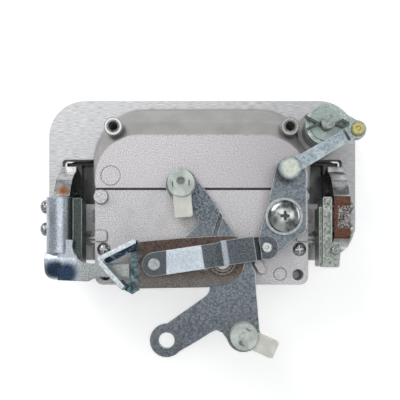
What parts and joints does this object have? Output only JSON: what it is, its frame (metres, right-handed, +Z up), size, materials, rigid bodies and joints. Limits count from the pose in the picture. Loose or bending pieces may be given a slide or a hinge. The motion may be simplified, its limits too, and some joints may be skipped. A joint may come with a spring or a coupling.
{
  "type": "luggage door lock",
  "caption": "Paddle handle lock for a luggage door: flush cast housing, pull handle, key cylinder, lost-motion linkage and a rotor with two snap-in rod clips",
  "frame": {"origin": "Centre of the flange in the plane of its rear face, which lies on the door panel", "axes": "+X to the key cylinder's side as seen on the mechanism side, +Y out of the vehicle through the handle's face, +Z up"},
  "size_m": [0.2, 0.0645, 0.1624],
  "materials": {
    "cast_housing": "Bead-blasted die casting, flange brushed",
    "cast_plate": "As-cast, fine sand texture",
    "plated_handle": "Plated, smooth",
    "pin_steel": "Turned and zinc plated",
    "spring_steel": "Plated spring wire",
    "screw_zinc": "Zinc plated",
    "bright_zinc": "Bright zinc plated sheet",
    "dark_zinc": "Blue zinc plated sheet",
    "spangled_zinc": "Spangled zinc plated sheet",
    "lever_zinc": "Blue and brown passivated zinc",
    "dark_washer": "Oiled dished washer",
    "green_washer": "Grey-green washer",
    "yellow_rivet": "Yellow passivated rivet",
    "lock_casting": "Die-cast cylinder",
    "nylon": "Natural nylon, slightly glossy"
  },
  "bodies": {
    "housing": {"face_housing": "cast_housing", "mechanism_plate": "cast_plate", "plate_screws": "screw_zinc", "hinge_pin": "pin_steel", "pin_nuts": "pin_steel", "torsion_spring_left": "spring_steel", "torsion_spring_right": "spring_steel", "pivot_post": "pin_steel", "hub_washer": "dark_washer", "crank_screw": "screw_zinc", "crank_washer": "screw_zinc", "lock_body": "lock_casting"},
    "handle": {"pull_handle": "plated_handle", "left_bracket": "bright_zinc", "right_bracket": "dark_zinc", "left_side_screws": "screw_zinc", "right_side_screws": "screw_zinc", "bracket_rivet": "pin_steel"},
    "rotor": {"rotor_plate": "spangled_zinc", "guide_pin": "pin_steel"},
    "lost_motion_lever": {"v_lever": "lever_zinc"},
    "cam": {"lock_plug": "pin_steel", "cam_plate": "bright_zinc", "tail_washer": "green_washer", "cotter_pin": "pin_steel", "cam_rivet": "yellow_rivet"},
    "crank": {"bell_crank": "spangled_zinc"},
    "strap": {"upper_strap": "bright_zinc", "strap_rivet": "pin_steel"},
    "link_pivot": {"link_rivet_right": "pin_steel"},
    "link": {"mid_link": "bright_zinc", "link_rivet_left": "pin_steel"},
    "upper_clip": {"rod_clip_upper": "nylon"},
    "lower_clip": {"rod_clip_lower": "nylon"}
  },
  "joints": [
    {"name": "handle_pull", "type": "hinge", "parent": "housing", "child": "handle", "pos_m": [0, -0.011, -0.038], "axis": [-1, 0, 0], "range_deg": [0, 28], "stiffness_Nm_per_rad": 0.6, "springref_deg": -28.65},
    {"name": "rotor_turn", "type": "hinge", "parent": "housing", "child": "rotor", "pos_m": [0.0126, -0.0315, -0.0532], "axis": [0, 1, 0], "range_deg": [0, 11.01]},
    {"name": "v_lever_slide", "type": "slide", "parent": "rotor", "child": "lost_motion_lever", "axis": [0.9994, 0, 0.0346], "range_m": [0, 0.0198]},
    {"name": "lock_turn", "type": "hinge", "parent": "housing", "child": "cam", "pos_m": [0.0735, -0.037, 0.0278], "axis": [0, 1, 0], "range_deg": [0, 90]},
    {"name": "crank_turn", "type": "hinge", "parent": "housing", "child": "crank", "pos_m": [0.0491, -0.0335, -0.0261], "axis": [0, 1, 0], "range_deg": [-56, 0]},
    {"name": "strap_turn", "type": "hinge", "parent": "cam", "child": "strap", "pos_m": [0.0915, -0.041, 0.0245], "axis": [0, 1, 0], "range_deg": [-83.5, 0]},
    {"name": "link_rivet_turn", "type": "hinge", "parent": "crank", "child": "link_pivot", "pos_m": [0.0387, -0.036, -0.0446], "axis": [0, 1, 0], "range_deg": [0, 57]},
    {"name": "link_turn", "type": "hinge", "parent": "link_pivot", "child": "link", "pos_m": [0.0387, -0.036, -0.0446], "axis": [0, 1, 0], "range_deg": [0, 6.7]},
    {"name": "rod_clip_upper_turn", "type": "hinge", "parent": "rotor", "child": "upper_clip", "pos_m": [-0.012, -0.0355, -0.0066], "axis": [0, 1, 0], "continuous": true},
    {"name": "rod_clip_lower_turn", "type": "hinge", "parent": "rotor", "child": "lower_clip", "pos_m": [0.0252, -0.0371, -0.0971], "axis": [0, 1, 0], "continuous": true}
  ],
  "couplings": [
    {"joint": "rotor_turn", "follows": "handle_pull", "ratio": 0.3929},
    {"joint": "v_lever_slide", "follows": "lock_turn", "m_per_rad": 0.012586},
    {"joint": "crank_turn", "follows": "lock_turn", "ratio": -0.6217},
    {"joint": "strap_turn", "follows": "lock_turn", "ratio": -0.9264},
    {"joint": "link_rivet_turn", "follows": "lock_turn", "ratio": 0.6327},
    {"joint": "link_turn", "follows": "handle_pull", "ratio": 0.2357}
  ]
}
